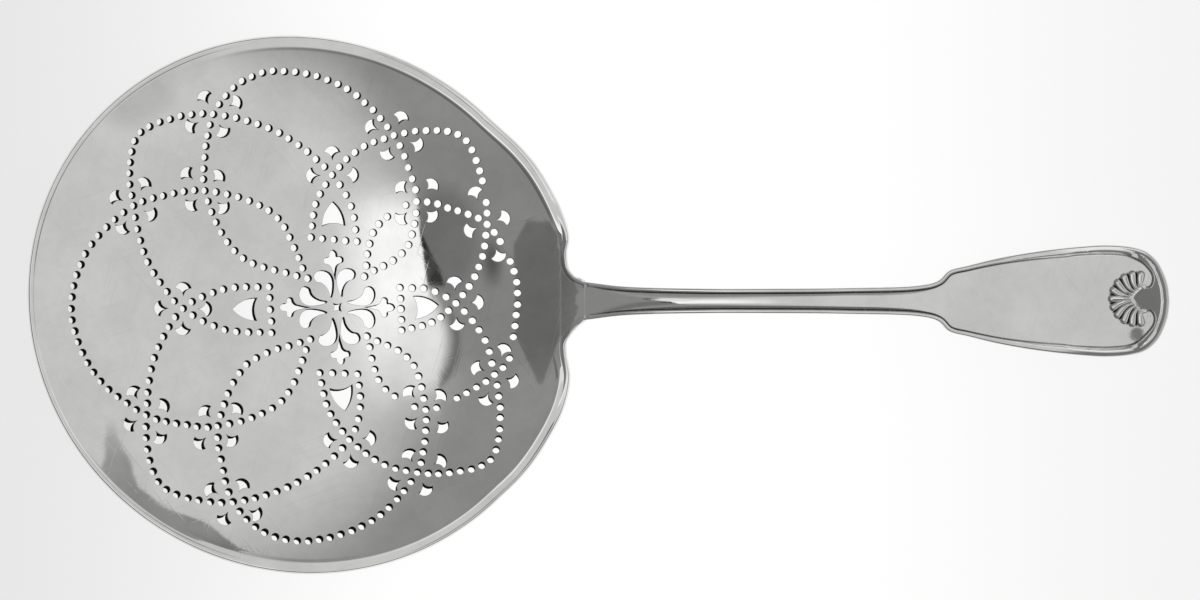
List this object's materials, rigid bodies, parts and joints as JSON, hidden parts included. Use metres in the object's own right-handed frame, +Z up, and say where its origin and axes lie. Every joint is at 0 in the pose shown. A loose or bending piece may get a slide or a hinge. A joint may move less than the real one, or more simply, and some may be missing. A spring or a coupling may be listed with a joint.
{
  "type": "pierced chips server",
  "caption": "Silver serving piece with a shallow round bowl pierced in an interlace pattern and an arched fiddle handle with threaded edges and a shell, for lifting crisps.",
  "frame": {"origin": "on the table under the middle of the server's outline seen from above, where the bowl and the handle's tip stand", "axes": "+X along the handle towards its tip, +Z up out of the bowl's hollow, +Y to the left of the handle seen from the bowl"},
  "size_m": [0.235, 0.1108, 0.019],
  "materials": {
    "silver": "polished sterling silver with fine wear",
    "silver_solder": "hard solder, slightly yellower and duller than the silver"
  },
  "bodies": {
    "root": {"pierced_bowl": "silver", "handle": "silver", "solder_layer": "silver_solder"}
  },
  "joints": []
}
